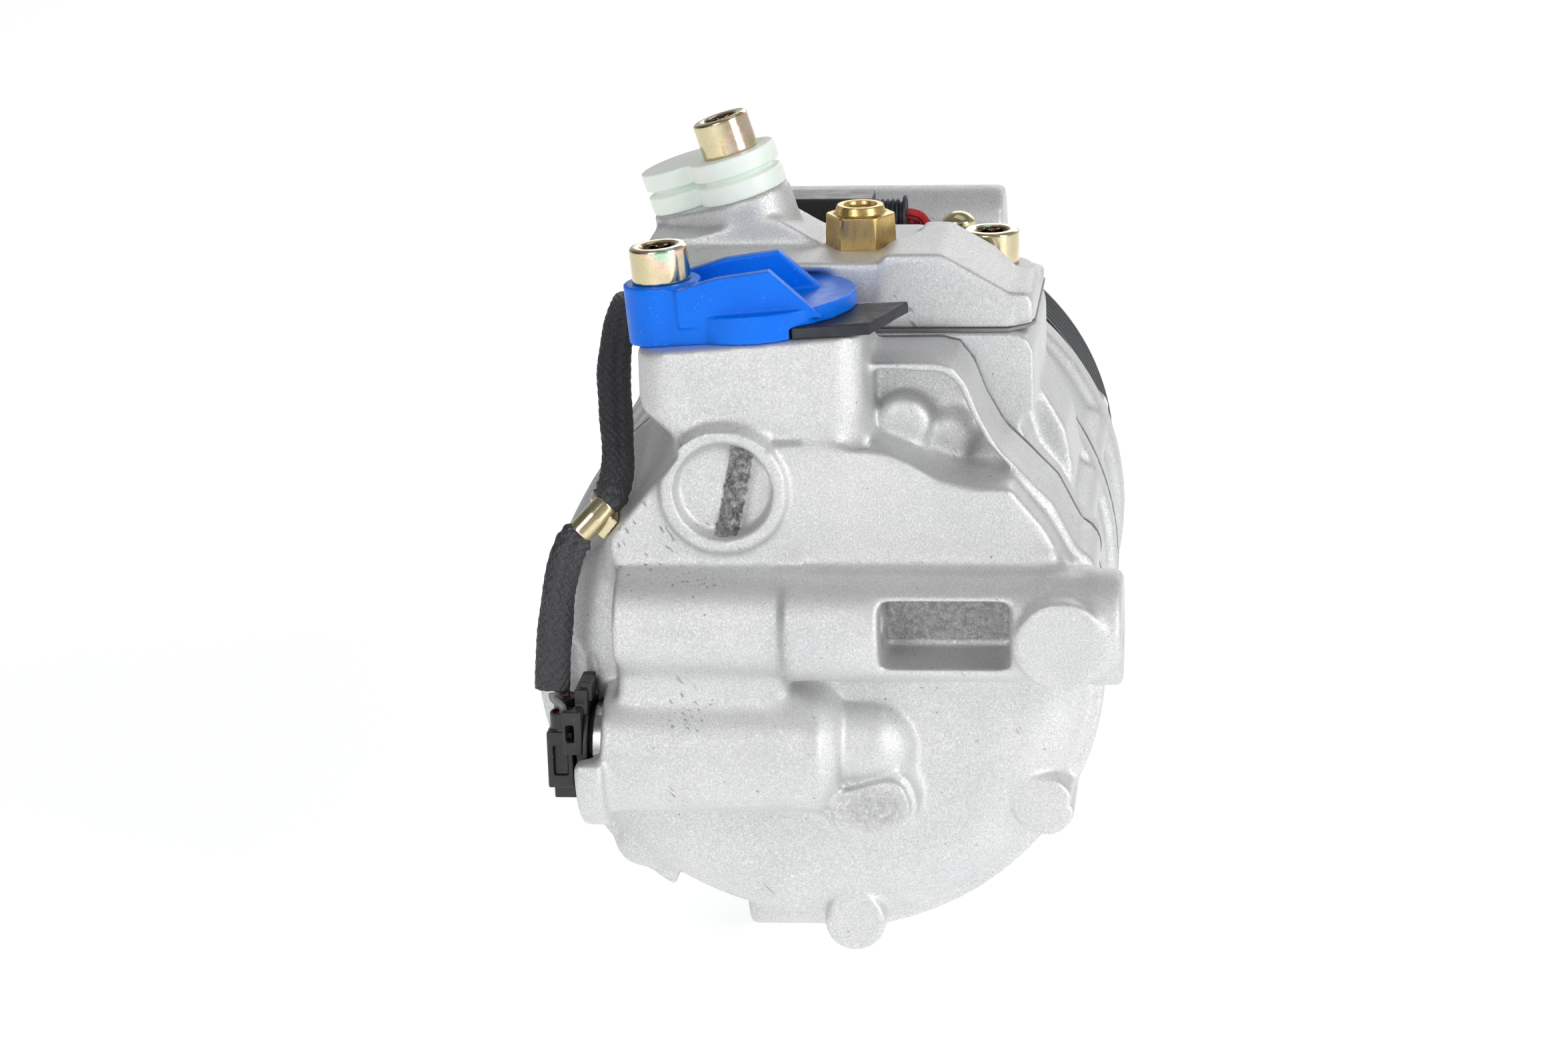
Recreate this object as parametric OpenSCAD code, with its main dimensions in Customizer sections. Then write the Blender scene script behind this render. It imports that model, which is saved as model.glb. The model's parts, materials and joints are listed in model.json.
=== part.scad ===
// Seven-cylinder variable-displacement swash-plate refrigerant compressor with a damped belt pulley.
// Origin on the shaft axis in the belt's middle plane. +Y towards the pulley nose, +Z up, millimetres.

/* [Casing] */
// Radius of the round casing flanges
case_r = 64; // [63:0.5:66]
// Length of the cylinder block
block_len = 60; // [58:1:64]
// Depth of the rear housing rim
rim_depth = 25; // [23:1:28]
// Length of the crankcase in the front housing
crank_len = 49; // [49:1:54]
// Casing wall between the lobes of the front housing
wall_r = 61; // [60:0.5:62]

/* [Cylinders] */
// Radius of the circle that the cylinders stand on
pitch_r = 38; // [37.5:0.1:38.5]
// Cylinder bore radius
bore_r = 15; // [14:0.1:15.2]
// Clearance of a piston in its bore
piston_gap = 0.05; // [0.02:0.01:0.08]
// Largest tilt of the swash plate, in degrees
swash_max = 15; // [10:1:15]
// Swash plate radius
swash_r = 45.5; // [44:0.5:46]
// Swash plate thickness
swash_t = 7; // [6:0.5:8]
// Height of the swash plate's virtual hinge above the shaft axis
hinge_z = 42; // [40:1:44]

/* [Shaft] */
// Shaft radius
shaft_r = 9; // [8:0.5:10]
// Clearance between the shaft and its bearings
shaft_gap = 0.05; // [0.02:0.01:0.08]

/* [Pulley] */
// Outer radius of the belt pulley
pulley_r = 59.5; // [55:0.5:62]
// Width of the pulley rim
pulley_w = 24; // [22:1:26]
// Number of belt ribs
belt_ribs = 6; // [4:1:6]

/* [Mounts] */
// Radius of the mounting bolt bores
mount_bore_r = 4.2; // [4:0.1:5.2]
// Outer radius of the rear mounting tube
tube_r = 12.3; // [11:0.1:13]
// Outer radius of the front mounting lugs
lug_r = 11.5; // [10:0.1:12.5]

/* [Ports] */
// Lean of the suction port, in degrees
suction_lean = 4.5; // [0:1:6]
// Lean of the discharge port, in degrees
discharge_lean = 17; // [12:1:18]
// Radius of the port screw heads
m8_head_r = 6.5; // [6:0.1:7]
// Height of the suction cap at its screw
cap_boss_h = 13.2; // [10:0.2:14]

/* [Hidden] */
$fn = 64;
cyl_count = 7;
seam_y = -135 - pulley_w / 2;
gasket_t = 0.6;
cyl_step = 360 / cyl_count;
first_bolt = -82.7;
bolt_ring_r = 58;
lobe_r = 7;
rib_lobe_r = 5.7;
thread_depth = 13;
block_end = gasket_t + block_len;
head_face = block_end - 6;
swash_y = 62;
crank_end = block_end + gasket_t + crank_len;
nose_y = 122;
snout_end = 157;
half_t = swash_t / 2;
shoe_gap = 0.25;
shoe_r = 8.9;
socket_r = 9.1;
piston_top = 1.4;
tube_y = -39.5;
tube_z = 13.4;
valve_y = -36;
valve_z = -15.9;
valve_boss_r = 14.5;
valve_bore_r = 10.3;
lug_y = 85;
lug_z = 74;
foot_y = 18;
foot_z = -67;
deck_z = 69.5;
cover_z = deck_z + 0.8;
suction_at = [-31.7, -20.7, 73.8];
disc_at = [21.2, 7.5];
port_at = [-19.9, 30, 95.8];
lobe_span = 16;
lobe_turn = -35;
plug_at = [-18.6, 43.4];
cover_screws = [[35.6, 47], [-27, 53]];
cover_seat_z = 75.2;
valve_deck_z = 85.2;
relief_at = [7.4, 22];
lead_screw_at = [26.7, 66, 80];
cast = [0.80, 0.80, 0.79];
gold = [0.80, 0.70, 0.42];
black = [0.10, 0.10, 0.11];
steel = [0.62, 0.62, 0.64];

function bolt_angle(i) = first_bolt + i * cyl_step;
function cyl_angle(i) = first_bolt + (i + 0.5) * cyl_step;

// ---- placing helpers: every casing part is drawn from the head gasket's rear face ----

module at_seam() { translate([0, seam_y, 0]) children(); }

module cyl_y(r, y1, y2) { translate([0, y1, 0]) rotate([-90, 0, 0]) cylinder(r = r, h = y2 - y1); }

module cyl_x(r, x1, x2) { translate([x1, 0, 0]) rotate([0, 90, 0]) cylinder(r = r, h = x2 - x1); }

module ring_y(r1, r2, y1, y2) {
    difference() {
        cyl_y(r2, y1, y2);
        cyl_y(r1, y1 - 1, y2 + 1);
    }
}

// a flat outline drawn in X and Z, made solid from y1 to y2
module slab_y(y1, y2) { translate([0, y2, 0]) rotate([90, 0, 0]) linear_extrude(y2 - y1) children(); }

// a flat outline drawn in Y and Z, made solid from x1 to x2
module slab_x(x1, x2) { translate([x1, 0, 0]) rotate([90, 0, 90]) linear_extrude(x2 - x1) children(); }

// a profile of radius and Y, turned about the shaft axis
module turned() { rotate([-90, 0, 0]) rotate_extrude($fn = 128) children(); }

module box(lo, hi) { translate(lo) cube(hi - lo); }

module rod(a, b, r) {
    v = b - a;
    translate(a) rotate([0, acos(v.z / norm(v)), atan2(v.y, v.x)])
        cylinder(r = r, h = norm(v), $fn = 32);
}

// places its children at each through bolt
module each_bolt() {
    for (i = [0 : cyl_count - 1])
        rotate([0, -bolt_angle(i), 0]) translate([bolt_ring_r, 0, 0]) children();
}

module each_cylinder() {
    for (i = [0 : cyl_count - 1])
        rotate([0, -cyl_angle(i), 0]) translate([pitch_r, 0, 0]) children();
}

module bolt_holes(r, y1, y2) { each_bolt() cyl_y(r, y1, y2); }

module suction_frame() { at_seam() translate(suction_at) rotate([0, -suction_lean, 0]) children(); }

module discharge_frame() { at_seam() translate(port_at) rotate([0, -discharge_lean, 0]) children(); }

// two round lobes along X joined by a waist
module two_lobes(r, span, waist) {
    for (s = [-1, 1])
        translate([s * span / 2, 0]) circle(r);
    square([span, waist], center = true);
}

// a socket-head cap screw standing on z = 0, its shank below
module socket_screw(head_r, head_h, shank_r, shank_l) {
    difference() {
        union() {
            cylinder(r = head_r, h = head_h - 0.5);
            translate([0, 0, head_h - 0.5]) cylinder(r1 = head_r, r2 = head_r - 0.5, h = 0.5);
            translate([0, 0, -shank_l]) cylinder(r = shank_r, h = shank_l + 1);
        }
        translate([0, 0, head_h - 4.5]) linear_extrude(6) six_lobes(head_r * 0.6);
        translate([0, 0, head_h - 1]) cylinder(r1 = head_r * 0.52, r2 = head_r * 0.7, h = 1.1);
    }
}

module six_lobes(r) {
    polygon([for (a = [0 : 15 : 345])
        (a % 30 == 0 ? (a % 60 == 0 ? r : 0.78 * r) : 0.9 * r) * [cos(a), sin(a)]]);
}

// ---- rear housing ----

panel = [[-44, 22], [-45, 26], [-45, 36], [-33, 49], [-29, 53], [4, 53.8], [15, 52.6], [22, 49.5],
    [28, 45.9],
    [36, 43.8], [44, 43.8], [51.6, 34.5], [56.5, 25.4], [57, 20], [-42, 20]];
shoulder = [[-38, 40], [-38, deck_z - 1], [27, deck_z - 0.3], [31.2, 68.2], [34.4, 64], [37.1, 56.6],
    [41, 49.5],
    [47, 43.3], [53, 37], [57, 29]];

module flange_outline() {
    circle(case_r, $fn = 128);
    polygon(shoulder);
    for (i = [0 : cyl_count - 1])
        rotate(bolt_angle(i)) translate([bolt_ring_r + 1, 0]) circle(i == 5 ? rib_lobe_r - 1 : lobe_r);
}

module rear_face_details() {
    slab_y(-36.5, -20) polygon(panel);
    translate([plug_at.x, 0, plug_at.y]) cyl_y(14.2, -39, -20);
    translate([12.5, -42, -27.9]) rotate([90, 0, 0]) rotate(17) {
        linear_extrude(4, center = true) pad_outline();
        translate([0, 0, -7]) linear_extrude(6.5) pad_outline(1.6);
    }
    // bolt bosses standing from the rim at the bottom and the lower right
    for (i = [0 : cyl_count - 1])
        if (sin(bolt_angle(i)) < -0.2 && cos(bolt_angle(i)) > -0.4)
            rotate([0, -bolt_angle(i), 0]) translate([bolt_ring_r + 1, 0, 0]) cyl_y(lobe_r, -34.2, -1);
}

// bosses left standing in the recess beside the suction tower
module recess_bosses() {
    translate([19.8, 0, 53.8]) {
        cyl_y(6.6, -20.5, -2);
        translate([0, -20.5, 0]) rotate([90, 0, 0]) cylinder(r1 = 6.6, r2 = 4.4, h = 1.6);
    }
    translate([30.7, 0, 51]) {
        cyl_y(5.6, -17, -2);
        translate([0, -17, 0]) rotate([90, 0, 0]) cylinder(r1 = 5.6, r2 = 3, h = 2.4);
    }
}

module pad_outline(grow = 0) {
    square([8, 11 + 2 * grow], center = true);
    square([17.5 + 2 * grow, 2.4], center = true);
    for (s = [-1, 1], t = [-1, 1])
        translate([s * 4.4, t * 1.2]) circle(4.3 + grow);
}

module mounting_tube() {
    translate([0, tube_y, tube_z]) {
        cyl_x(tube_r, -5.5, 61.5);
        cyl_x(tube_r + 0.5, 61.5, 68.5);
        translate([0, 2.5, 0]) cyl_x(tube_r + 0.1, -43, -5);
        box([-43, 1, -tube_r], [62, 8, tube_r]);
    }
    translate([55.5, 0, tube_z - 0.7]) cyl_y(10.2, -53, -30);
}

module valve_boss() {
    translate([0, valve_y, valve_z]) {
        cyl_x(valve_boss_r, -46.5, 2);
        translate([2, 0, 0]) rotate([0, 90, 0]) cylinder(r1 = valve_boss_r, r2 = 10.5, h = 4);
        translate([0, 3, 0]) cyl_x(10.5, 5, 12);
        translate([12, 3, 0]) sphere(10.5);
        box([-46.5, 0, -valve_boss_r], [2, 12, valve_boss_r]);
        intersection() {
            cyl_x(17.8, -52, -45.5);
            box([-53, -18, -19], [-45, 18, 1.2]);
        }
    }
}

module suction_tower() {
    slab_y(-34, -0.1) polygon([[-38, 44], [-38, 74], [12, 78], [13, 50], [8, 44]]);
}

module rear_housing() {
    color(cast) at_seam() difference() {
        union() {
            difference() {
                union() {
                    slab_y(-rim_depth, 0) flange_outline();
                    rear_dome();
                    each_bolt() cyl_y(rib_lobe_r, -rim_depth - 2, -1);
                    rear_face_details();
                    suction_tower();
                }
                rear_face_cuts();
            }
            recess_bosses();
            // web between the tube and the valve boss
            box([-43, -43.5, -9], [-6, -20, 7]);
            mounting_tube();
            valve_boss();
        }
        window_cut();
        rear_inner_cuts();
    }
}

module rear_dome() {
    intersection() {
        turned() polygon([[0, -34.5], [47.5, -34.5], [51.5, -33.6], [55, -31.6], [58.5, -28.6],
            [61, -rim_depth], [case_r, -rim_depth], [case_r, -20], [0, -20]]);
        box([-70, -40, -70], [70, 0, 46]);
    }
}

module window_cut() { box([16, -55, 6.5], [44.2, -33, 21.3]); }

module rear_face_cuts() {
    // everything above the port plane
    translate(suction_at) rotate([0, -suction_lean, 0]) box([-20, -40, 0], [70, 60, 30]);
    // rounded front corners of the suction tower
    for (c = [[-38, -1], [13, 1]])
        translate([c[0] - c[1] * 9, -25, 55]) difference() {
            translate([c[1] * 4.6, -4.7, 12]) cube([9.4, 9.4, 40], center = true);
            cylinder(r = 9, h = 100, center = true);
        }
    // recess beside the suction tower
    slab_y(-40, -14.5) polygon([[13.2, 53.4], [22, 49.7], [28, 46.2], [36, 44.1], [44, 44.1],
        [38.5, 50.5], [35, 57],
        [32.2, 64], [29, 66.5], [13.2, 67.5]]);
    // plug recess with its slanted ridge
    translate([plug_at.x, 0, plug_at.y]) difference() {
        cyl_y(10.7, -40, -31);
        rotate([0, 12, 0]) box([-12, -34, -13], [0.2, -30, 13]);
        rotate([0, 12, 0]) box([5.4, -32.6, -13], [12, -30, 13]);
    }
    harness_chamfer();
    // pocket behind the harness plug and the valve's connector
    box([-68, -50, -27], [-52.8, -26.5, 6]);
    box([-53.2, -50, -14.6], [-49.4, -28, 4]);
    // recess at the bottom of the rim
    slab_y(-30, -16) polygon([[1, -68], [1.5, -60], [-13, -56.5], [-25, -52.5], [-33, -48.5],
        [-37, -68]]);
    // notch under the right-hand lobe
    slab_y(-36, -20) polygon([[55.5, -29.5], [62, -35], [68, -25], [58.5, -27]]);
    // triangular pocket by the tube
    slab_y(-40, -29) polygon([[53.5, 27.3], [58, 32.5], [62, 27.3]]);
}

// slanting cut at the upper left that the braided sleeve and its clip lie in
harness_angle = 140;
module harness_frame() { rotate([0, -harness_angle, 0]) children(); }

module harness_chamfer() {
    harness_frame() translate([0, 0, -22]) linear_extrude(40)
        polygon([[63, -4], [60, -14], [55.5, -30], [54.5, -42], [80, -42], [80, -4]]);
}

module rear_inner_cuts() {
    // valve plate seat, discharge and suction chambers
    cyl_y(52.1, -3.7, 1);
    cyl_y(17, -24, 0);
    difference() {
        cyl_y(47, -20, 0);
        cyl_y(21, -21, 1);
    }
    // suction port
    translate(suction_at) rotate([0, -suction_lean, 0]) translate([disc_at.x, disc_at.y, -26])
        cylinder(r = 8.5, h = 30);
    translate([-11.5, -13, 20]) cylinder(r = 7.5, h = 40);
    // port screw hole
    translate(suction_at) rotate([0, -suction_lean, 0]) translate([0, 0, -18]) cylinder(r = 4, h = 20);
    // hole of the clip screw
    clip_screw_frame() translate([0, 0, -10]) cylinder(r = 1.6, h = 14);
    // control valve bore
    translate([0, valve_y, valve_z]) {
        cyl_x(valve_bore_r, -54, -6);
        cyl_x(7.6, -7, 6);
        cyl_x(12.2, -54, -49.5);
    }
    // mounting bore
    translate([0, tube_y, tube_z]) cyl_x(mount_bore_r, -45, 70);
    // threaded holes of the through bolts
    bolt_holes(3, -thread_depth, 1);
}

// ---- valve plate stack ----

module head_gasket() {
    color([0.25, 0.25, 0.26]) at_seam() difference() {
        slab_y(0, gasket_t) flange_outline();
        cyl_y(52.2, -1, 2);
        bolt_holes(3.3, -1, 2);
    }
}

module suction_reeds() {
    color(steel) at_seam() difference() {
        cyl_y(52, 0, gasket_t);
        each_cylinder() difference() {
            ring_y(5, 6.2, -1, 2);
            box([-8, -2, -3], [0, 3, 3]);
        }
        each_cylinder() translate([8.5, 0, 0]) cyl_y(2.6, -1, 2);
        cyl_y(4, -1, 2);
    }
}

module valve_plate() {
    color(steel) at_seam() difference() {
        cyl_y(52, -3, 0);
        each_cylinder() cyl_y(4, -4, 1);
        each_cylinder() translate([8.5, 0, 0]) cyl_y(2.6, -4, 1);
        cyl_y(4, -4, 1);
    }
}

module discharge_reeds() {
    color(steel) at_seam() {
        difference() {
            union() {
                cyl_y(14, -3.6, -3);
                for (i = [0 : cyl_count - 1])
                    rotate([0, -cyl_angle(i), 0]) box([10, -3.6, -2.5], [16.5, -3, 2.5]);
            }
            cyl_y(3.5, -5, -2);
        }
    }
}

// ---- cylinder block ----

module mount_lug(y, z, x1, x2, root) {
    translate([0, y, z]) {
        cyl_x(lug_r, x1, x2);
        slab_x(x1 + 4, x2 - 4) polygon([[-lug_r, 0], [lug_r, 0], [lug_r + 3, root], [-lug_r - 3, root]]);
    }
}

module cylinder_block() {
    color(cast) at_seam() difference() {
        union() {
            cyl_y(wall_r + 0.5, gasket_t, block_end);
            slab_y(gasket_t, 9) flange_outline();
            ring_y(50, case_r, block_end - 9, block_end);
            each_bolt() cyl_y(rib_lobe_r, gasket_t, block_end);
            block_deck();
            intersection() {
                mount_lug(foot_y, foot_z, -22, 8, 14);
                box([-30, gasket_t, -90], [30, 40, 0]);
            }
            // flat clamping rib on the right shoulder
            slab_y(18, 50) polygon([[46.6, 56], [48, 53], [54, 42.3], [56, 29.5], [45, 20], [40, 40]]);
        }
        block_cuts();
    }
}

module block_deck() {
    slab_y(gasket_t, 58) polygon([[-38, 40], [-38, deck_z], [43, deck_z], [46.3, 68.2], [47.7, 65],
        [47.7, 52], [44.2, 49], [50, 30], [-40, 30]]);
}

module block_cuts() {
    // cylinder bores
    each_cylinder() cyl_y(bore_r, -1, head_face + 1);
    // crankcase mouth
    cyl_y(53.2, head_face, block_end + 1);
    // shaft bearing bore and its relief
    cyl_y(13, 14, head_face + 1);
    cyl_y(10, 6, 20);
    // bolt holes
    bolt_holes(3.3, -1, block_end + 1);
    // muffler chamber
    box([-33, 8, 57], [26, 44, deck_z + 1]);
    // tapped holes for the cover screws
    for (p = cover_screws)
        translate([p[0], p[1], 56]) cylinder(r = 3.6, h = 20);
    translate([0, foot_y, foot_z]) cyl_x(mount_bore_r, -40, 40);
}

// ---- front housing ----

module front_housing() {
    color(cast) at_seam() difference() {
        union() {
            turned() polygon([[0, block_end + gasket_t], [case_r, block_end + gasket_t],
                [case_r, block_end + 9],
                [wall_r, block_end + 11], [wall_r, 99], [case_r, 102], [case_r, 112], [wall_r - 3, 114],
                [48, 119], [34, nose_y],
                [24, 124], [20, 128], [20, snout_end], [0, snout_end]]);
            each_bolt() cyl_y(rib_lobe_r, block_end + gasket_t, 118);
            mount_lug(lug_y, lug_z, -18, 36.6, -18);
            front_ribs();
        }
        // crankcase, chamfered at its mouth
        turned() polygon([[0, block_end], [54, block_end], [54, block_end + 1], [53, block_end + 2.4],
            [53, crank_end],
            [0, crank_end]]);
        cyl_y(13, crank_end - 1, nose_y - 1);
        cyl_y(14, nose_y - 0.5, 134);
        cyl_y(10.2, crank_end, snout_end + 1);
        bolt_holes(3.3, block_end, 130);
        translate([0, lug_y, lug_z]) cyl_x(mount_bore_r, -40, 50);
        translate(lead_screw_at - [0, 0, 16]) cylinder(r = 2.5, h = 20);
    }
}

module front_ribs() {
    // ribs between the bolts, standing from the wall to the nose
    intersection() {
        for (i = [0 : cyl_count - 1])
            rotate([0, -cyl_angle(i), 0]) box([20, 100, -2.5], [62, 121, 2.5]);
        turned() polygon([[0, 100], [wall_r + 1, 100], [wall_r + 1, 108], [50, 119], [27, 125],
            [0, 125]]);
    }
    // boss of the lead bracket screw
    intersection() {
        translate(lead_screw_at - [0, 0, 29]) cylinder(r = 5.2, h = 29);
        box([0, block_end + gasket_t, 0], [60, 90, 100]);
    }
}

module front_gasket() {
    color([0.25, 0.25, 0.26]) at_seam() difference() {
        cyl_y(case_r, block_end, block_end + gasket_t);
        cyl_y(53.4, block_end - 1, block_end + 2);
        bolt_holes(3.3, block_end - 1, block_end + 2);
    }
}

module through_bolts() {
    color(gold) at_seam() each_bolt() difference() {
        union() {
            cyl_y(2.95, 1 - thread_depth, 119);
            cyl_y(5, 118, 124);
        }
        slab_y(120.5, 125) circle(2.9, $fn = 6);
    }
}

// ---- muffler ----

module cover_outline() {
    polygon([[-38, 3], [-35, gasket_t + 1], [42, gasket_t + 1], [46.5, 6], [47.7, 10], [47.7, 52],
        [44, 56], [40, 58],
        [-34, 58], [-38, 54]]);
}

module muffler_gasket() {
    color([0.35, 0.35, 0.36]) at_seam() translate([0, 0, deck_z]) linear_extrude(0.8) difference() {
        cover_outline();
        translate([-33, 8]) square([59, 36]);
        for (p = cover_screws)
            translate(p) circle(4.2);
    }
}

module muffler_cover() {
    color(cast) at_seam() difference() {
        union() {
            translate([0, 0, cover_z]) linear_extrude(3.4) cover_outline();
            // valve deck
            slab_y(2.5, 44) polygon([[-37, 72], [-37, 83], [-34, valve_deck_z], [20, valve_deck_z],
                [26, 84], [28, 72]]);
            cover_hump();
            // right-hand post and the front corner
            translate([cover_screws[0].x, cover_screws[0].y, 71]) cylinder(r = 9.6, h = cover_seat_z - 71);
            translate([43.2, 6.3, 71]) cylinder(r = 4.3, h = 7.2);
            discharge_tower();
        }
        cover_cuts();
    }
}

// flat-topped hump over the chamber, falling towards the right-hand screw
module cover_hump() {
    intersection() {
        slab_y(2, 38) polygon([[12, 72], [13.4, 86], [14.6, 87.2], [27.1, 87.2], [42.7, 78.1],
            [46.6, 78], [47.6, 76],
            [47.6, 72]]);
        linear_extrude(100) polygon([[12, 0], [13, 15], [20, 28], [21, 40], [36, 40], [43, 30],
            [50, 30], [50, 0]]);
    }
}

module discharge_outline(r) {
    rotate(lobe_turn) translate([-lobe_span / 2, 0]) two_lobes(r, lobe_span, 2 * r - 8);
}

module discharge_tower() {
    intersection() {
        translate(port_at) rotate([0, -discharge_lean, 0]) translate([0, 0, -34]) linear_extrude(34) union() {
            discharge_outline(10.5);
            rotate(lobe_turn) translate([-lobe_span / 2, 0]) square([lobe_span, 21], center = true);
        }
        box([-60, 10, 76], [20, 60, 120]);
    }
    slab_y(19.6, 40.4) polygon([[-40.5, 75], [-41.5, 87], [-30, 88], [-12, 92], [-3.5, 87],
        [1, valve_deck_z - 0.5], [1, 75]]);
}

module cover_cuts() {
    // above the discharge face
    translate(port_at) rotate([0, -discharge_lean, 0]) box([-45, -20, 0], [22, 30, 20]);
    // arched recess that the suction cap's disc stands in
    translate(suction_at) rotate([0, -suction_lean, 0]) translate([disc_at.x, disc_at.y, -3.4])
        cylinder(r = 21, h = 10.3);
    // chamber
    box([-33, 10.5, 69], [25, 42, 80]);
    // discharge port and its screw hole
    translate(port_at) rotate([0, -discharge_lean, 0]) {
        rotate(lobe_turn) translate([-lobe_span, 0, -22]) cylinder(r = 6, h = 30);
        translate([0, 0, -13]) cylinder(r = 4, h = 30);
    }
    // relief valve seat
    translate([relief_at.x, relief_at.y, 76]) cylinder(r = 4.5, h = 12);
    for (p = cover_screws)
        translate([p[0], p[1], 60]) cylinder(r = 4.2, h = 30);
    // flats under the cover screw heads
    translate([cover_screws[0].x, cover_screws[0].y, cover_seat_z]) cylinder(r = 8, h = 20);
    translate([cover_screws[1].x, cover_screws[1].y, cover_z + 3]) cylinder(r = 6.2, h = 20);
}

module muffler_bolts() {
    color(gold) at_seam() {
        translate([cover_screws[0].x, cover_screws[0].y, cover_seat_z]) socket_screw(m8_head_r, 8, 3.5, 18);
        translate([cover_screws[1].x, cover_screws[1].y, cover_z + 3]) socket_screw(5, 6, 3.5, 15);
    }
}

module relief_valve() {
    color([0.72, 0.53, 0.22]) at_seam() translate([relief_at.x, relief_at.y, valve_deck_z]) difference() {
        union() {
            translate([0, 0, -7]) cylinder(r = 4.4, h = 8);
            intersection() {
                cylinder(r = 8.1, h = 7.4, $fn = 6);
                cylinder(r1 = 8.2, r2 = 7.8, h = 7.4);
            }
            translate([0, 0, 7.2]) cylinder(r1 = 6, r2 = 5.3, h = 2.2);
        }
        translate([0, 0, 8.3]) cylinder(r1 = 3.6, r2 = 4.2, h = 3);
    }
}

// ---- shipping caps ----

module suction_cap() {
    color([0.05, 0.35, 0.85]) suction_frame() difference() {
        union() {
            cylinder(r = 8.6, h = cap_boss_h);
            translate([disc_at.x, disc_at.y, 2.6]) cylinder(r = 20.4, h = 3.6);
            // skirt over the left part of the gasket
            intersection() {
                translate(disc_at) cylinder(r = 20.4, h = 4);
                box([-2, -14, 0], [28.5, 4, 4]);
            }
            linear_extrude(6.2) polygon([[-3, -8], [28, -11.5], [20, 8], [0, 8.5]]);
            // two standing walls with slanting ends
            for (y = [-8, 12])
                translate([0, y, 0]) slab_y(-1.6, 1.6) polygon([[4, 4], [4, 12.4], [13, 14.4], [25, 15.2],
                    [35.6, 4]]);
            translate([0, 0, 4]) linear_extrude(8.6)
                polygon([[0, -8.5], [9, -9.6], [9, -5], [6, 8], [0, 8.5]]);
        }
        translate([0, 0, -1]) cylinder(r = 4.3, h = 20);
        // room for the gasket
        translate([0, 0, -1]) linear_extrude(3.6) polygon([[8, -6.5], [28, -9], [28.5, -13.5], [54, -14],
            [54, 21], [8, 21]]);
    }
}

module suction_cap_gasket() {
    color(black) suction_frame() difference() {
        linear_extrude(2.6)
            polygon([[9, -6], [28.2, -8.5], [28.8, -11.5], [46, -12.5], [53, 6], [30, 10], [9, 15]]);
        translate([disc_at.x, disc_at.y, -1]) cylinder(r = 8.5, h = 4);
    }
}

module suction_cap_bolt() {
    color(gold) suction_frame() translate([0, 0, cap_boss_h]) socket_screw(m8_head_r, 8, 3.9, 28);
}

module discharge_cap() {
    color([0.86, 0.93, 0.88]) discharge_frame() difference() {
        union() {
            for (h = [0, 5.7])
                translate([0, 0, h]) linear_extrude(4.3) discharge_outline(10.2);
            linear_extrude(9) discharge_outline(7.9);
            rotate(lobe_turn) translate([-lobe_span, 0, -8]) cylinder(r = 5.9, h = 9);
        }
        translate([0, 0, -1]) cylinder(r = 4.3, h = 20);
        rotate(lobe_turn) translate([-lobe_span, 0, -9]) cylinder(r = 3.9, h = 14);
    }
}

module discharge_cap_bolt() {
    color(gold) discharge_frame() translate([0, 0, 10]) socket_screw(m8_head_r, 8.5, 3.9, 21);
}

// ---- control valve and its wiring ----

module control_valve() {
    color(steel) at_seam() translate([0, valve_y, valve_z]) {
        cyl_x(7.4, -6.5, 5);
        cyl_x(9.2, -44, -6.5);
        cyl_x(10.1, -48.6, -44);
    }
}

module control_valve_seals() {
    color(black) at_seam() translate([0, valve_y, valve_z])
        for (x = [-42, -30, -18])
            difference() {
                cyl_x(valve_bore_r - 0.02, x, x + 1.8);
                cyl_x(9.22, x - 1, x + 3);
            }
}

module valve_retaining_ring() {
    color(steel) at_seam() translate([0, valve_y, valve_z]) difference() {
        cyl_x(12.1, -50.6, -49.6);
        cyl_x(8.3, -52, -48);
        box([-52, -7.4, 0], [-48, 7.4, 14]);
    }
}

plug_front = [-55.6, -41.6];
plug_rear = [-56, -33.6];

module valve_connector() {
    color(black) at_seam() difference() {
        union() {
            translate([0, valve_y, valve_z]) cyl_x(8.2, -52.6, -48.6);
            box([-52.6, -43, -14.4], [-49.8, -29, -0.8]);
            box([-51.5, -41, -4], [-49, -35, 0.4]);
            // latch blade beside the plug
            box([-52.9, -47.6, -14.4], [-50.7, -43, -4.5]);
            box([-55, -47.6, -14.4], [-50.7, -45.2, -4.5]);
        }
        box([-54.2, -48, -11.5], [-52.4, -45, -7.5]);
    }
}

module harness_plug() {
    color(black) at_seam() difference() {
        union() {
            box([-59, -45, -23], [-53.1, -29, -10]);
            translate([plug_front.x, plug_front.y, 0]) cylinder_between(2.9, -13, -6);
            translate([plug_rear.x, plug_rear.y, 0]) cylinder_between(2.9, -13, -5);
            box([-58, -43, -26], [-52.9, -31, -22]);
        }
        translate([plug_front.x, plug_front.y, -10]) cylinder(r = 2.2, h = 9.6);
        translate([plug_rear.x, plug_rear.y, -8.4]) cylinder(r = 2.2, h = 9.6);
        // latch slot in the front face
        box([-57.6, -46, -20], [-54.4, -43.8, -13]);
    }
}

module cylinder_between(r, z1, z2) { translate([0, 0, z1]) cylinder(r = r, h = z2 - z1); }

module wire_seals() {
    color([0.45, 0.12, 0.12]) at_seam() {
        translate([plug_front.x, plug_front.y, -10]) cylinder(r = 2.15, h = 3.2);
        translate([plug_rear.x, plug_rear.y, -8.4]) cylinder(r = 2.15, h = 3.2);
    }
}

sleeve_end = [-58.1, -39, -1.6];

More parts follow.
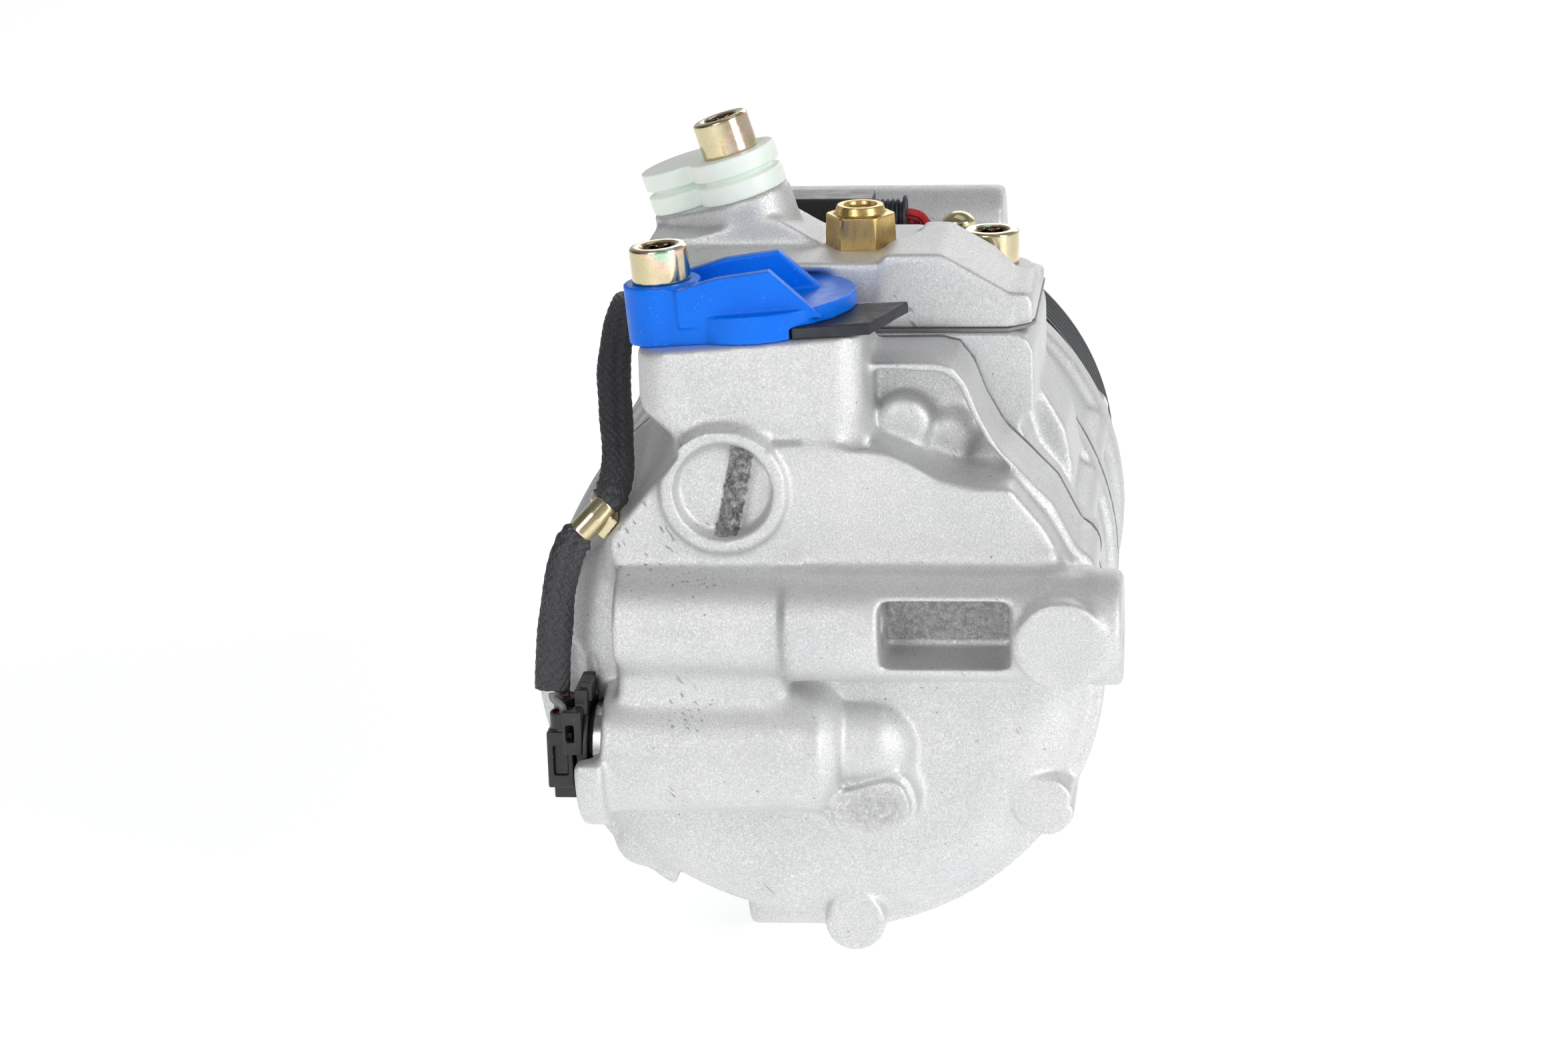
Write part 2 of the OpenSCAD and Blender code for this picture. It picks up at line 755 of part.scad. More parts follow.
module harness_wires() {
    at_seam() {
        color([0.75, 0.1, 0.12])
            lead([[plug_rear.x, plug_rear.y, -5.1], [plug_rear.x, plug_rear.y, -3.6], [-57, -36.6, -3.4],
                [-57.2, -37.2, -2.5]], 0.9, 8);
        color([0.5, 0.5, 0.5])
            lead([[plug_front.x, plug_front.y, -6.7], [plug_front.x, plug_front.y, -5.2],
                [-57.8, -40.4, -3.6], [-58, -40.2, -2.4]], 0.9, 8);
    }
}

// route of the braided sleeve from the plug to the top connector
route = [sleeve_end, [-57.5, -39, 6.9], [-56.5, -38.6, 15.2], [-55.6, -38, 21.7], [-53.8, -36.8, 28.6],
    [-51.7, -35, 32.4], [-47.6, -33, 36.6], [-44.8, -30.5, 39.8], [-43.7, -24, 45.4], [-45.2, -14, 55.1],
    [-46.5, -6, 62.3], [-46.5, 3, 69.3], [-45.5, 12, 73.4], [-45, 22, 71.2], [-45, 34, 70.6],
    [-45, 46, 71], [-43.4, 58, 73.4], [-38.5, 64.6, 78.2], [-31.5, 65, 81.8], [-25.8, 64.6, 82.4]];
clip_from = 5.1;
clip_to = 6.7;
sleeve_r = 3.4;
// the clip squeezes the sleeve to this share of its radius
squeezed = 0.55;
function waist(u) = 1 - (1 - squeezed) * exp(-pow(abs(u - (clip_from + clip_to) / 2) / 1.15, 6));
steps = 3;

function spline(a, b, c, d, t) =
    0.5 * (2 * b + (c - a) * t + (2 * a - 5 * b + 4 * c - d) * t * t + (3 * b - a - 3 * c + d) * t * t * t);
function point_at(way, k) = way[max(0, min(len(way) - 1, k))];
function along(way, u) = let (k = min(floor(u), len(way) - 2))
    spline(point_at(way, k - 1), point_at(way, k), point_at(way, k + 1), point_at(way, k + 2), u - k);
function heading(way, u) =
    let (v = along(way, min(u + 0.05, len(way) - 1)) - along(way, max(u - 0.05, 0))) v / norm(v);
function ring_at(way, u, r, sides) =
    let (t = heading(way, u), s = cross(t, [0.2, 1, 0.1]), p = s / norm(s), q = cross(t, p))
    [for (k = [0 : sides - 1])
        along(way, u) + r * (cos(k * 360 / sides) * p + sin(k * 360 / sides) * q)];

// a round lead swept along a way of points
module lead(way, r, n, clipped = false) {
    rings = (len(way) - 1) * steps;
    points = [for (i = [0 : rings]) each ring_at(way, i / steps, clipped ? r * waist(i / steps) : r, n)];
    polyhedron(points, concat(
        [[for (k = [0 : n - 1]) k]],
        [for (i = [0 : rings - 1], k = [0 : n - 1])
            [i * n + k, (i + 1) * n + k, (i + 1) * n + (k + 1) % n, i * n + (k + 1) % n]],
        [[for (k = [n - 1 : -1 : 0]) rings * n + k]]), convexity = 8);
}

module braided_sleeve() { color([0.13, 0.13, 0.14]) at_seam() lead(route, sleeve_r, 12, clipped = true); }

// rolled band that squeezes the sleeve, with a tab screwed to the housing behind it
clip_r = 2.9;
tab_at = 3;
module clip_screw_frame() {
    harness_frame() translate([60.2, -18, tab_at]) rotate([0, 0, -15.7]) rotate([0, 90, 0]) children();
}

module clip_run(from, to, r) {
    middle = along(route, (clip_from + clip_to) / 2);
    rod(along(route, from), middle, r);
    rod(middle, along(route, to), r);
    translate(middle) sphere(r = r);
}

module sleeve_clip() {
    color(gold) at_seam() difference() {
        union() {
            clip_run(clip_from, clip_to, clip_r);
            harness_frame() translate([0, 0, tab_at - 2.6]) linear_extrude(5.2)
                polygon([[55.35, -34], [55.7, -30], [60.2, -14], [61.2, -14], [56.9, -29.4],
                    [57.7, -31], [57.7, -34]]);
        }
        clip_run(clip_from - 0.3, clip_to + 0.3, 2.35);
        clip_screw_frame() translate([0, 0, -4]) cylinder(r = 1.6, h = 8);
    }
}

module clip_screw() {
    color(gold) at_seam() clip_screw_frame() {
        translate([0, 0, -7]) cylinder(r = 1.4, h = 7.5);
        translate([0, 0, 0.1]) cylinder(r = 3, h = 1.4);
        translate([0, 0, 1.4]) cylinder(r1 = 3, r2 = 1.9, h = 1);
    }
}

module top_connector() {
    color(black) at_seam() {
        box([-24.6, 59, 77.6], [-16.7, 69, 87.4]);
        box([-16.7, 58.5, 76.6], [6.7, 69.5, 88]);
        box([-14, 61.6, 64.3], [4, 66.6, 76.6]);
    }
}

module connector_boot() {
    color(black) at_seam() translate([-0.7, 64, 82.2]) {
        cyl_x(3.9, 7.5, 15);
        for (x = [8 : 1.2 : 12.8])
            cyl_x(4.6, x, x + 0.6);
        cyl_x(5.4, 14.4, 15.2);
    }
}

module top_leads() {
    color([0.75, 0.1, 0.12]) at_seam() {
        lead([[14.7, 63, 83.6], [16, 63, 83.5], [18, 63.4, 82.6], [19.4, 63.8, 79.8],
            [19.4, 64.4, 73]], 1.1, 8);
        lead([[14.7, 65.2, 81], [15.6, 65.2, 81], [17.2, 66.4, 80], [17.4, 67, 73]], 1, 8);
    }
}

module connector_screw() {
    color(gold) at_seam() translate(lead_screw_at) {
        translate([0, 0, -12]) cylinder(r = 2.3, h = 12.5);
        intersection() {
            cylinder(r = 4, h = 3.4);
            translate([0, 0, -1.6]) sphere(4.9);
        }
    }
}

// ---- bearings and shaft seal ----

module rear_needle_bearing() { color(steel) at_seam() ring_y(shaft_r + shaft_gap, 12.98, 32, head_face - 2); }

module front_needle_bearing() { color(steel) at_seam() ring_y(shaft_r + shaft_gap, 12.98, crank_end, nose_y - 1); }

module thrust_bearing() { color(steel) at_seam() ring_y(11, 24, crank_end - 3.6, crank_end); }

module shaft_seal() { color(black) at_seam() ring_y(shaft_r + shaft_gap, 13.95, 124, 132); }

module bearing_inner_race() { color(steel) at_seam() ring_y(20, 23.2, snout_end - 21, snout_end - 0.4); }

module bearing_balls() {
    color(steel) at_seam() for (a = [0 : 24 : 336], y = [snout_end - 15.5, snout_end - 6])
        rotate([0, a, 0]) translate([25.5, y, 0]) sphere(2.25, $fn = 32);
}

module bearing_outer_race() { color(steel) at_seam() ring_y(27.8, 31, snout_end - 21, snout_end - 0.4); }

// ---- pulley and drive ----

rib_pitch = 3.56;
rib_depth = 2.9;
function rib_points(i) = let (y = (i - (belt_ribs - 1) / 2) * rib_pitch)
    [[pulley_r, y - 1.5], [pulley_r - rib_depth, y - 0.3], [pulley_r - rib_depth, y + 0.3],
    [pulley_r, y + 1.5]];

module pulley() {
    half = pulley_w / 2;
    color([0.25, 0.26, 0.28]) {
        turned() polygon(concat(
            [[31, -9.5], [35, -9.5], [36.5, -3], [51, -3], [53.5, -half + 1], [54.5, -half],
                [pulley_r, -half]],
            [for (i = [0 : belt_ribs - 1]) each rib_points(i)],
            [[pulley_r, half], [55, half], [54, half - 1], [54, 4], [36, 4], [35, 9.6], [31, 9.6]]));
    }
}

damper_ring_r = 45;
damper_count = 6;

module each_damper() {
    for (i = [0 : damper_count - 1])
        rotate([0, i * 360 / damper_count, 0]) translate([damper_ring_r, 0, 0]) children();
}

module rubber_dampers() { color([0.12, 0.12, 0.12]) each_damper() ring_y(3.4, 7, 4, 12); }

module damper_hub() {
    color([0.3, 0.31, 0.33]) difference() {
        union() {
            turned() polygon([[10, 10.4], [17, 10.4], [20, 12.4], [34, 12.2], [51.5, 12.2],
                [51.5, 14.6], [33, 15.2],
                [18, 17], [16, 19], [10, 19]]);
            each_damper() cyl_y(3.35, 5, 14);
        }
        turned() polygon([[0, 0], [shaft_r - 2, 0], [shaft_r - 2, 30], [0, 30]]);
        for (i = [0 : damper_count - 1])
            rotate([0, (i + 0.5) * 360 / damper_count, 0]) translate([37, 0, 0]) cyl_y(6, 5, 20);
    }
}

module centre_nut() {
    color(gold) difference() {
        union() {
            ring_y(4.1, 10, 19, 20.4);
            slab_y(20.4, 26) circle(9.8, $fn = 6);
        }
        cyl_y(4.1, 18, 27);
    }
}

module shaft() {
    color(steel) difference() {
        union() {
            cyl_y(shaft_r, seam_y + 20, 10.4);
            cyl_y(shaft_r - 2.05, 10.4, 18.8);
            cyl_y(4, 18.8, 28);
        }
        translate([0, seam_y + 19, 0]) cyl_y(2, 0, 6);
    }
}

module lug_plate() {
    color(steel) at_seam() {
        difference() {
            union() {
                cyl_y(38, 97.2, 105);
                for (s = [-1, 1])
                    translate([s * 9, 0, 0]) box([-3.5, 85, 16], [3.5, 98, 24]);
            }
            cyl_y(shaft_r, 90, 110);
            for (a = [60, 120, 240, 300])
                rotate([0, a, 0]) translate([27, 0, 0]) cyl_y(5, 90, 110);
        }
    }
}

// ---- swash plate, pistons and shoes ----

module swash_plate() {
    color([0.55, 0.54, 0.5]) at_seam() difference() {
        cyl_y(swash_r, swash_y - half_t, swash_y + half_t);
        cyl_y(12.6, swash_y - 10, swash_y + 10);
    }
}

// a piston on its own axis, with +X away from the shaft
module piston_body() {
    front = swash_y + 12.5;
    difference() {
        cyl_y(bore_r - piston_gap, piston_top, front);
        // slot that the plate runs in, with two socket bosses left standing
        difference() {
            box([-20, swash_y - 8, -20], [9, swash_y + 8, 20]);
            cyl_y(8.3, swash_y - 9, swash_y - 6);
            cyl_y(8.3, swash_y + 6, swash_y + 9);
        }
        translate([0, swash_y, 0]) sphere(socket_r, $fn = 64);
        // clearance for the drive plate and its arms
        box([-20, swash_y - 8, -20], [-8.4, front + 1, 20]);
        // lightened neck
        difference() {
            box([-20, 32, -20], [9, swash_y - 12, 20]);
            cyl_y(9.8, 30, swash_y);
        }
        for (s = [-1, 1])
            translate([0, 0, s * 20]) box([-20, 32, -8.6], [20, front + 1, 8.6]);
        // piston ring groove
        ring_y(bore_r - 0.5, bore_r + 1, 6, 8);
    }
}

module piston(i) {
    color([0.72, 0.72, 0.70]) at_seam() rotate([0, -cyl_angle(i), 0]) translate([pitch_r, 0, 0]) piston_body();
}

module shoe_pair() {
    for (s = [-1, 1])
        intersection() {
            translate([0, swash_y, 0]) sphere(shoe_r, $fn = 64);
            translate([0, swash_y + s * (half_t + shoe_gap + 10), 0]) cube([17, 20, 17], center = true);
        }
}

module shoes(i) {
    color([0.5, 0.5, 0.55]) at_seam() rotate([0, -cyl_angle(i), 0]) translate([pitch_r, 0, 0]) shoe_pair();
}

rear_housing();
head_gasket();
cylinder_block();
front_housing();
front_gasket();
muffler_gasket();
muffler_cover();
muffler_bolts();
relief_valve();
suction_cap();
suction_cap_gasket();
suction_cap_bolt();
discharge_cap();
discharge_cap_bolt();
control_valve();
control_valve_seals();
valve_retaining_ring();
valve_connector();
harness_plug();
wire_seals();
harness_wires();
braided_sleeve();
sleeve_clip();
clip_screw();
top_connector();
connector_boot();
top_leads();
connector_screw();
through_bolts();
valve_plate();
suction_reeds();
discharge_reeds();
rear_needle_bearing();
front_needle_bearing();
thrust_bearing();
shaft_seal();
bearing_inner_race();
bearing_balls();
bearing_outer_race();
pulley();
damper_hub();
rubber_dampers();
centre_nut();
shaft();
lug_plate();
swash_plate();
piston(0);  // piston_1
piston(1);  // piston_2
piston(2);  // piston_3
piston(3);  // piston_4
piston(4);  // piston_5
piston(5);  // piston_6
piston(6);  // piston_7
shoes(0);  // shoes_1
shoes(1);  // shoes_2
shoes(2);  // shoes_3
shoes(3);  // shoes_4
shoes(4);  // shoes_5
shoes(5);  // shoes_6
shoes(6);  // shoes_7
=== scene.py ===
import json
import math
import bpy
import numpy as np
from mathutils import Matrix, Vector, noise

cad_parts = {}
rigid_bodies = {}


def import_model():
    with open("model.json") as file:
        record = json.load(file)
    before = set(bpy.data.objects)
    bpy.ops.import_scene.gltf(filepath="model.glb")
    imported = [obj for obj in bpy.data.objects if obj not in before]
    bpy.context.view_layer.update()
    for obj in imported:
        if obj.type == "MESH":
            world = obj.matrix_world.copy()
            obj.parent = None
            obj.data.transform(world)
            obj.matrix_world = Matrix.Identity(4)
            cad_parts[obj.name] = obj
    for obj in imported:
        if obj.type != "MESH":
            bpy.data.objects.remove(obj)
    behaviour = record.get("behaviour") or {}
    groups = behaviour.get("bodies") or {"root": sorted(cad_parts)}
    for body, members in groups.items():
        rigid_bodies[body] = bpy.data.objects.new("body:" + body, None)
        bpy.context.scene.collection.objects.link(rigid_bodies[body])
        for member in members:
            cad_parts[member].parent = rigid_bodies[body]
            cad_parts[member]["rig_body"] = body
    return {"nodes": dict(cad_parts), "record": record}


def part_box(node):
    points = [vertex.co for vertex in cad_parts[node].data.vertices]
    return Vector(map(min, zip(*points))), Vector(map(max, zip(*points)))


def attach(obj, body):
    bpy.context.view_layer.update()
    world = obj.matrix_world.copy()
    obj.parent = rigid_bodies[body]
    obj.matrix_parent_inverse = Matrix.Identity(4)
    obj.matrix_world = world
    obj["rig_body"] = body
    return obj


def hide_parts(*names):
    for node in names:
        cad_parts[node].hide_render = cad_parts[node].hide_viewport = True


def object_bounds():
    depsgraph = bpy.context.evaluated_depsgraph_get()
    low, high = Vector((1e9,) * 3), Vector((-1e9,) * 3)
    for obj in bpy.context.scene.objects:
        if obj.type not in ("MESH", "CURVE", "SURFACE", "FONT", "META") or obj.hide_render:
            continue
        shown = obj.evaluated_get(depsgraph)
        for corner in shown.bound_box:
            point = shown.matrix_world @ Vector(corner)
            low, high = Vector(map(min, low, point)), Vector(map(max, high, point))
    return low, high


# The visual model of an automotive AC compressor, seen from behind. Lengths are in metres, and in
# millimetres where a name or a comment says so. The castings, the caps and the small parts are
# finely meshed skins of their CAD solids. The braided sleeve is woven round its route. The inner
# parts are shown as the CAD has them, with a material each.

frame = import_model()
cad_lo, cad_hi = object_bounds()
nodes = frame["nodes"]
scene = bpy.context.scene
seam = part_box("head_gasket")[0].y
MM = 0.001


def at_seam(p):
    """A point given in millimetres from the head gasket's rear face, which the CAD draws from,
    as a point of the frame in metres."""
    return Vector((p[0] * MM, seam + p[1] * MM, p[2] * MM))


# ---- camera, at the photograph's viewing angle ----

CAMERA_AT = (99.7, -948.4, 302.1)  # in millimetres from the seam
AZIMUTH, ELEVATION, ROLL = (math.radians(angle) for angle in (6.09, 16.35, 1.7))
LENS = 100.25

roll = Matrix(((math.cos(ROLL), 0, math.sin(ROLL)),
               (0, 1, 0),
               (-math.sin(ROLL), 0, math.cos(ROLL))))
ahead = roll @ Vector((-math.sin(AZIMUTH) * math.cos(ELEVATION),
                       math.cos(AZIMUTH) * math.cos(ELEVATION),
                       -math.sin(ELEVATION)))
right = roll @ Vector((math.cos(AZIMUTH), math.sin(AZIMUTH), 0))
up = right.cross(ahead)
axes = Matrix((right, up, -ahead)).transposed().to_4x4()
camera = bpy.data.objects.new("camera", bpy.data.cameras.new("camera"))
scene.collection.objects.link(camera)
camera.matrix_world = Matrix.Translation(at_seam(CAMERA_AT)) @ axes
camera.data.lens = LENS
camera.data.clip_start = 0.01
camera.data.clip_end = 20
scene.camera = camera


# ---- materials ----

class Paint:
    """Builds one node material in the piece's own coordinates, in metres. The named sockets of the
    shader are set at once, and its methods add noises, mixes and bumps."""

    def __init__(self, name, **sockets):
        self.mat = bpy.data.materials.new(name)
        self.mat.use_nodes = True
        self.tree = self.mat.node_tree
        self.tree.nodes.clear()
        self.shader = self.add("ShaderNodeBsdfPrincipled")
        out = self.add("ShaderNodeOutputMaterial")
        self.join(self.shader.outputs[0], out.inputs[0])
        self.coord = self.add("ShaderNodeTexCoord").outputs["Object"]
        for key, value in sockets.items():
            self.shader.inputs[key.replace("_", " ")].default_value = value

    def add(self, kind, **props):
        n = self.tree.nodes.new(kind)
        for key, value in props.items():
            setattr(n, key, value)
        return n

    def join(self, a, b):
        self.tree.links.new(a, b)

    def set(self, socket, value):
        """Sets a socket to a number or a colour, or joins another node's output to it."""
        if isinstance(value, (int, float, tuple)):
            socket.default_value = value
        else:
            self.join(value, socket)

    def stretched(self, scale, turned=(0, 0, 0)):
        """Turned coordinates in which a noise is drawn out where the scale is small."""
        n = self.add("ShaderNodeMapping", vector_type="TEXTURE")
        n.inputs["Scale"].default_value = tuple(1 / v for v in scale)
        n.inputs["Rotation"].default_value = turned
        self.join(self.coord, n.inputs["Vector"])
        return n.outputs[0]

    def noise(self, scale, detail=3.0, rough=0.55, vector=None):
        n = self.add("ShaderNodeTexNoise")
        n.inputs["Scale"].default_value = scale
        n.inputs["Detail"].default_value = detail
        n.inputs["Roughness"].default_value = rough
        self.join(vector or self.coord, n.inputs["Vector"])
        return n.outputs["Fac"]

    def ramp(self, value, lo, hi, a=0.0, b=1.0):
        """From a to b while the value goes from lo to hi."""
        n = self.add("ShaderNodeMapRange", clamp=True)
        self.set(n.inputs["Value"], value)
        for k, v in (("From Min", lo), ("From Max", hi), ("To Min", a), ("To Max", b)):
            n.inputs[k].default_value = v
        return n.outputs[0]

    def math(self, op, a, b=0.0):
        n = self.add("ShaderNodeMath", operation=op)
        self.set(n.inputs[0], a)
        self.set(n.inputs[1], b)
        return n.outputs[0]

    def mix(self, fac, a, b):
        n = self.add("ShaderNodeMix", data_type="RGBA")
        self.set(n.inputs[0], fac)
        self.set(n.inputs[6], a)
        self.set(n.inputs[7], b)
        return n.outputs[2]

    def attribute(self, name):
        return self.add("ShaderNodeAttribute", attribute_name=name).outputs["Fac"]

    def edge(self):
        """Above 0.5 on edges that stand out, below it in corners."""
        return self.add("ShaderNodeNewGeometry").outputs["Pointiness"]

    def bump(self, height, strength, distance, under=None):
        """A bump on the shader's normal, over the normal it is given."""
        n = self.add("ShaderNodeBump")
        n.inputs["Strength"].default_value = strength
        n.inputs["Distance"].default_value = distance
        self.join(height, n.inputs["Height"])
        if under is not None:
            self.join(under, n.inputs["Normal"])
        self.join(n.outputs[0], self.shader.inputs["Normal"])
        return n.outputs[0]

    def rounded(self, radius):
        """The normal of edges with this radius."""
        n = self.add("ShaderNodeBevel", samples=4)
        n.inputs["Radius"].default_value = radius
        return n.outputs[0]

    def colour(self, value):
        self.set(self.shader.inputs["Base Color"], value)

    def roughness(self, value):
        self.set(self.shader.inputs["Roughness"], value)


def rgb(r, g, b):
    return (r, g, b, 1.0)


def cast_aluminium():
    """Sand-like casting skin: fine matt grain with brighter grains in it, pits, scratches, dirt,
    and painted shade in the corners. The marked attribute says where dirt and painted shade darken
    the skin."""
    p = Paint("cast_aluminium", Metallic=0.85)
    sand, grit = p.noise(2300, 3, 0.7), p.noise(2500, 2, 0.6)
    mid, broad = p.noise(380, 3), p.noise(50, 4)
    tone = p.mix(p.ramp(broad, 0.3, 0.7), rgb(0.71, 0.715, 0.72), rgb(0.80, 0.80, 0.795))
    tone = p.mix(p.ramp(mid, 0.35, 0.75, 0, 0.2), tone, rgb(0.60, 0.60, 0.60))
    tone = p.mix(p.ramp(sand, 0.40, 0.62, 0.4, 0.0), tone, rgb(0.42, 0.42, 0.425))
    tone = p.mix(p.ramp(grit, 0.54, 0.70, 0, 0.5), tone, rgb(0.97, 0.97, 0.965))
    # small dark pits, and short scratches that lie together in patches
    pits = p.ramp(p.noise(900, 2, 0.5), 0.72, 0.76)
    tone = p.mix(p.math("MULTIPLY", pits, 0.55), tone, rgb(0.13, 0.12, 0.11))
    for turned, patches, ink in (((0.4, 0.9, 0.5), 45, rgb(0.10, 0.095, 0.09)),
                                 ((1.2, -0.6, 2.1), 60, rgb(0.95, 0.95, 0.95))):
        lines = p.noise(1100, 1, 0.4, p.stretched((0.1, 1, 1), turned))
        patch = p.ramp(p.noise(patches, 2), 0.63, 0.68)
        scratch = p.math("MULTIPLY", p.ramp(lines, 0.66, 0.70), patch)
        tone = p.mix(p.math("MULTIPLY", scratch, 0.5), tone, ink)
    # painted shade in the corners, and brighter handled edges
    corner = p.ramp(p.edge(), 0.34, 0.46, 1, 0)
    tone = p.mix(p.math("MULTIPLY", corner, 0.5), tone, rgb(0.20, 0.19, 0.18))
    tone = p.mix(p.ramp(p.edge(), 0.54, 0.64, 0, 0.25), tone, rgb(0.88, 0.88, 0.87))
    # darker mottled patches where the skins mark dirt and painted shade
    dirt_and_shade = p.attribute("dirt_and_shade")
    dark_mottle = p.math("MULTIPLY", dirt_and_shade, p.ramp(p.noise(700, 4, 0.7), 0.3, 0.62))
    tone = p.mix(dark_mottle, tone, rgb(0.13, 0.125, 0.12))
    p.colour(tone)
    p.roughness(p.math("ADD", p.ramp(grit, 0.45, 0.7, 0.62, 0.42), p.math("MULTIPLY", dirt_and_shade, 0.2)))
    coarse = p.bump(grit, 0.4, 0.0001)
    p.bump(sand, 0.5, 0.0001, coarse)
    return p.mat


def yellow_zinc():
    """Yellow-chromated zinc: pale gold with pink and green areas of film, darker brown sockets, and
    painted shade in the corners.
    """
    p = Paint("yellow_zinc", Metallic=1.0)
    film = p.noise(110, 3, 0.5)
    tone = p.mix(p.ramp(film, 0.35, 0.5), rgb(0.62, 0.55, 0.36), rgb(0.70, 0.61, 0.38))
    tone = p.mix(p.ramp(film, 0.52, 0.60), tone, rgb(0.88, 0.64, 0.52))
    tone = p.mix(p.ramp(film, 0.62, 0.70), tone, rgb(0.60, 0.78, 0.58))
    tone = p.mix(p.ramp(p.noise(2100, 3), 0.55, 0.75, 0, 0.5), tone, rgb(0.45, 0.34, 0.16))
    # painted shade in the corners, in dark brown
    tone = p.mix(p.ramp(p.edge(), 0.36, 0.46, 0.8, 0), tone, rgb(0.20, 0.11, 0.05))
    # darker brown inside the screw sockets that the skins mark
    tone = p.mix(p.math("MULTIPLY", p.attribute("dirt_and_shade"), 0.9), tone, rgb(0.10, 0.05, 0.022))
    p.colour(tone)
    p.roughness(p.ramp(p.noise(600, 3), 0.3, 0.7, 0.10, 0.22))
    p.bump(p.noise(3000, 3), 0.12, 0.00005)
    return p.mat


def brass():
    """Handled brass: olive brown with dark spots, polished on its edges."""
    p = Paint("brass", Metallic=1.0)
    tone = p.mix(p.ramp(p.noise(260, 4), 0.35, 0.7), rgb(0.66, 0.46, 0.18), rgb(0.52, 0.36, 0.14))
    tone = p.mix(p.ramp(p.noise(1500, 3, 0.7), 0.58, 0.72, 0, 0.7), tone, rgb(0.14, 0.095, 0.05))
    tone = p.mix(p.ramp(p.edge(), 0.52, 0.6, 0, 0.8), tone, rgb(0.92, 0.76, 0.48))
    p.colour(tone)
    brushed = p.noise(1400, 2, 0.5, p.stretched((1, 1, 0.06)))
    p.roughness(p.ramp(brushed, 0.3, 0.7, 0.22, 0.38))
    p.bump(brushed, 0.25, 0.00005)
    return p.mat


def moulded(name, tone, shade, rough, grain=0.12, **sockets):
    """Injection-moulded plastic: faint flow marks, fine grain and dust on it."""
    p = Paint(name, **sockets)
    mixed = p.mix(p.ramp(p.noise(70, 3), 0.35, 0.7), tone, shade)
    dust = p.ramp(p.noise(1700, 2, 0.5), 0.70, 0.76, 0, 0.25)
    p.colour(p.mix(dust, mixed, rgb(0.6, 0.6, 0.6)))
    p.roughness(p.ramp(p.noise(300, 3), 0.3, 0.7, rough * 0.85, rough * 1.2))
    p.bump(p.noise(2600, 3), grain, 0.00006)
    return p.mat


def metal(name, tone, shade, rough, scale=(1, 1, 1), depth=0.15, radius=0.0003, **sockets):
    """Turned, ground or coated metal: marks drawn out by the scale, stains, and rounded edges."""
    p = Paint(name, **{"Metallic": 1.0, **sockets})
    marks = p.noise(1800, 2, 0.5, p.stretched(scale))
    p.colour(p.mix(p.ramp(p.noise(120, 4), 0.35, 0.7), tone, shade))
    p.roughness(p.ramp(marks, 0.3, 0.7, rough * 0.8, rough * 1.25))
    p.bump(marks, depth, 0.00004, p.rounded(radius))
    return p.mat


def braid_yarn():
    """Black braiding yarn: fine threads, with a painted sheen that makes the outside of the weave a
    little paler.
    """
    p = Paint("braid_yarn", Roughness=0.5)
    thread = p.noise(3600, 2, 0.4)
    tone = p.mix(p.ramp(thread, 0.35, 0.65), rgb(0.008, 0.008, 0.009), rgb(0.05, 0.051, 0.058))
    # painted sheen: the crests of the yarns are lighter
    p.colour(p.mix(p.ramp(p.edge(), 0.5, 0.62, 0, 0.5), tone, rgb(0.15, 0.155, 0.175)))
    p.shader.inputs["Sheen Weight"].default_value = 0.1
    p.bump(thread, 0.5, 0.00008)
    return p.mat


paints = {
    "cast_aluminium": cast_aluminium(),
    "yellow_zinc": yellow_zinc(),
    "brass": brass(),
    "blue_plastic": moulded(
        "blue_plastic", rgb(0.0, 0.175, 0.86), rgb(0.0, 0.15, 0.78), 0.36,
        Specular_IOR_Level=0.22, Subsurface_Weight=0.1, Subsurface_Scale=0.002),
    # the white plastic has a faint painted glow from its emission
    "white_plastic": moulded(
        "white_plastic", rgb(0.86, 0.91, 0.85), rgb(0.80, 0.87, 0.80), 0.36,
        Subsurface_Weight=0.5, Subsurface_Scale=0.004,
        Emission_Color=rgb(0.9, 1.0, 0.92), Emission_Strength=0.05),
    "black_plastic": moulded(
        "black_plastic", rgb(0.016, 0.016, 0.017), rgb(0.03, 0.03, 0.032), 0.36, 0.3),
    "black_rubber": moulded(
        "black_rubber", rgb(0.014, 0.016, 0.022), rgb(0.024, 0.028, 0.04), 0.5, 0.35),
    "red_silicone": moulded(
        "red_silicone", rgb(0.30, 0.03, 0.02), rgb(0.22, 0.02, 0.02), 0.45),
    "red_insulation": moulded(
        "red_insulation", rgb(0.45, 0.015, 0.02), rgb(0.35, 0.01, 0.015), 0.3),
    "grey_insulation": moulded(
        "grey_insulation", rgb(0.18, 0.18, 0.18), rgb(0.24, 0.24, 0.24), 0.35),
    "black_braid": braid_yarn(),
    "gasket_sheet": metal(
        "gasket_sheet", rgb(0.22, 0.22, 0.225), rgb(0.30, 0.30, 0.30), 0.45, Metallic=0.7),
    "bearing_steel": metal(
        "bearing_steel", rgb(0.50, 0.50, 0.51), rgb(0.58, 0.58, 0.57), 0.22, (1, 0.05, 1)),
    "piston_aluminium": metal(
        "piston_aluminium", rgb(0.66, 0.66, 0.66), rgb(0.58, 0.58, 0.58), 0.3, (1, 0.08, 1)),
    "pulley_coating": metal(
        "pulley_coating", rgb(0.050, 0.053, 0.057), rgb(0.060, 0.063, 0.067), 0.38,
        depth=0.3, Metallic=0.55),
}
slot_of = {part["node"]: part["material_slot"] for part in frame["record"]["subparts"]}
for name, obj in nodes.items():
    obj.data.materials.clear()
    obj.data.materials.append(paints[slot_of[name]])


# ---- moulded and cast skins: the CAD solids with their corner radii ----

SOFT_ROUNDS = 70


